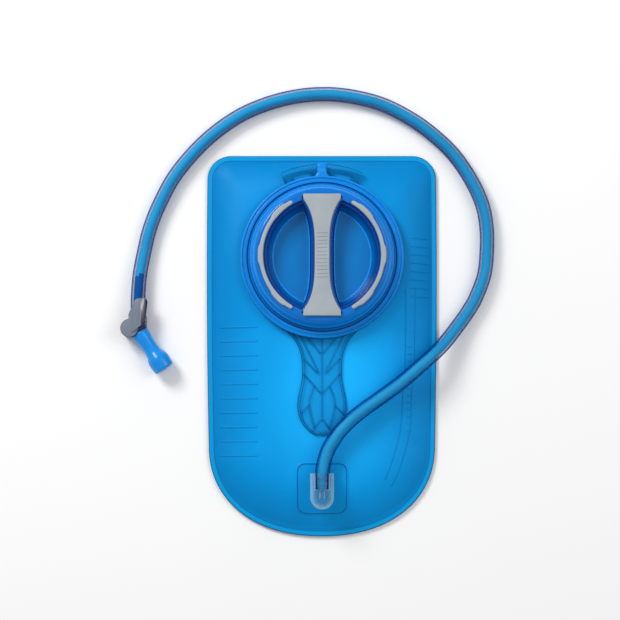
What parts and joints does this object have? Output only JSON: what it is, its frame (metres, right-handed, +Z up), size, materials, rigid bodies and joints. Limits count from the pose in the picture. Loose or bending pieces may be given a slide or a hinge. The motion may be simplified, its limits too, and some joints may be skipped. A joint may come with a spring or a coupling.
{
  "type": "hydration bladder",
  "caption": "Soft water bladder with a quarter-turn fill cap, clear carry handle, drinking tube and bite valve with a shut-off lever.",
  "frame": {"origin": "on the surface the bladder lies on, under the middle of the bag without its tube", "axes": "+X across the bag to the side the tube leaves over, +Y along the bag to its top edge, +Z up through the cap"},
  "size_m": [0.2681, 0.324, 0.0366],
  "materials": {
    "film_back": "smooth see-through blue film",
    "film_front": "smooth see-through blue film with welded edge",
    "clear_moulding": "clear tinted plastic with faceted ribs",
    "cap_blue": "deep see-through blue plastic, polished",
    "grip_grey": "matt grey soft grip",
    "tether_blue": "smooth flexible blue",
    "gasket_white": "smooth pale silicone",
    "patch_blue": "smooth blue film",
    "tube_blue": "see-through blue hose",
    "housing_navy": "dark navy moulded plastic",
    "barrel_pale": "smooth pale plastic",
    "o_ring_black": "black rubber",
    "lever_grey": "satin grey moulded plastic",
    "bite_blue": "soft see-through blue silicone"
  },
  "bodies": {
    "bag": {"back_film": "film_back", "front_film": "film_front", "fill_port": "clear_moulding", "port_neck": "clear_moulding", "tether_strap": "tether_blue", "exit_patch": "patch_blue", "exit_port": "clear_moulding", "exit_barb": "clear_moulding", "drink_tube": "tube_blue", "valve_housing": "housing_navy", "bite_stem": "barrel_pale"},
    "tether": {"tether_ring": "tether_blue"},
    "cap": {"cap_shell": "cap_blue", "cap_gasket": "gasket_white", "grip_bar": "grip_grey", "grip_arc_left": "grip_grey", "grip_arc_right": "grip_grey"},
    "lever": {"shutoff_barrel": "barrel_pale", "barrel_o_rings": "o_ring_black", "shutoff_lever": "lever_grey"},
    "mouthpiece": {"bite_valve": "bite_blue"}
  },
  "joints": [
    {"name": "cap_rise", "type": "slide", "parent": "bag", "child": "tether", "axis": [0, 0, 1], "range_m": [0, 0.004]},
    {"name": "cap_turn", "type": "hinge", "parent": "tether", "child": "cap", "pos_m": [0, 0.0615, 0.02], "axis": [0, 0, 1], "range_deg": [0, 90]},
    {"name": "lever_turn", "type": "hinge", "parent": "bag", "child": "lever", "pos_m": [-0.1375, 0.0112, 0.008], "axis": [0, 0, 1], "range_deg": [0, 90]},
    {"name": "mouthpiece_pull", "type": "slide", "parent": "bag", "child": "mouthpiece", "axis": [0.5736, -0.8192, 0], "range_m": [0, 0.014]}
  ],
  "couplings": [
    {"joint": "cap_rise", "follows": "cap_turn", "m_per_rad": 0.0025465}
  ]
}
